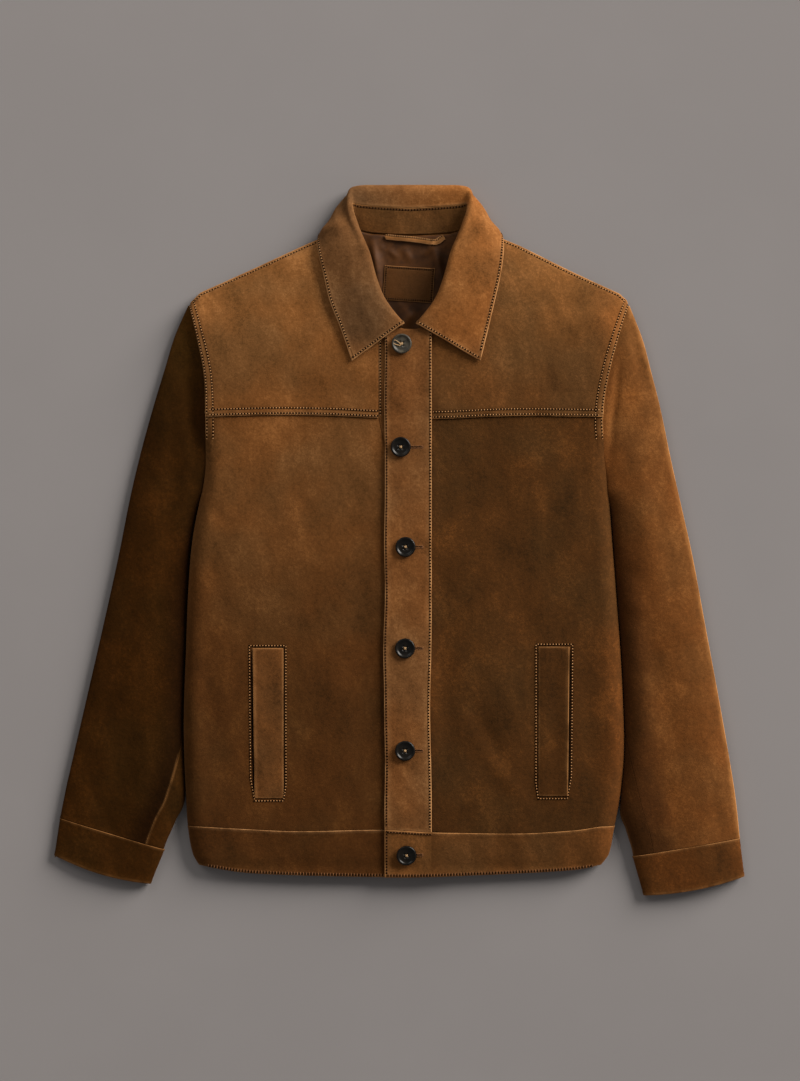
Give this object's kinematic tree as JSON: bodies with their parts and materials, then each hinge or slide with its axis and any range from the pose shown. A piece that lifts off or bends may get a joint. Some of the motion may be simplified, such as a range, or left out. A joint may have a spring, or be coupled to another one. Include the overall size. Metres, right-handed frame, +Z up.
{
  "type": "suede leather jacket",
  "caption": "Button-front suede jacket laid flat on its back: turned-down collar, chest yokes, set-in sleeves with cuffs, slanting welt pockets, button band and hem band.",
  "frame": {"origin": "on the surface that the jacket lies on, under the middle of its outline", "axes": "+X to the wearer's left, +Y from the hem to the collar, +Z up from the surface through the front"},
  "size_m": [0.7438, 0.7651, 0.0368],
  "materials": {
    "suede": "napped suede, mottled",
    "lining": "satin twill",
    "label": "smooth, bare",
    "button": "polished dark horn",
    "thread": "twisted sewing thread"
  },
  "bodies": {
    "root": {"back": "suede", "front_right": "suede", "front_left": "suede", "yoke_right": "suede", "yoke_left": "suede", "placket": "suede", "under_placket": "suede", "hem_band_right": "suede", "hem_band_left": "suede", "hem_band_back": "suede", "top_sleeve_right": "suede", "under_sleeve_right": "suede", "cuff_right": "suede", "top_sleeve_left": "suede", "under_sleeve_left": "suede", "cuff_left": "suede", "collar_stand": "suede", "collar_fall": "suede", "pocket_welt_right": "suede", "pocket_welt_left": "suede", "hanger_loop": "suede", "label_patch": "label", "neck_lining": "lining", "button_1": "button", "button_2": "button", "button_3": "button", "button_4": "button", "button_5": "button", "button_6": "button"}
  },
  "joints": []
}
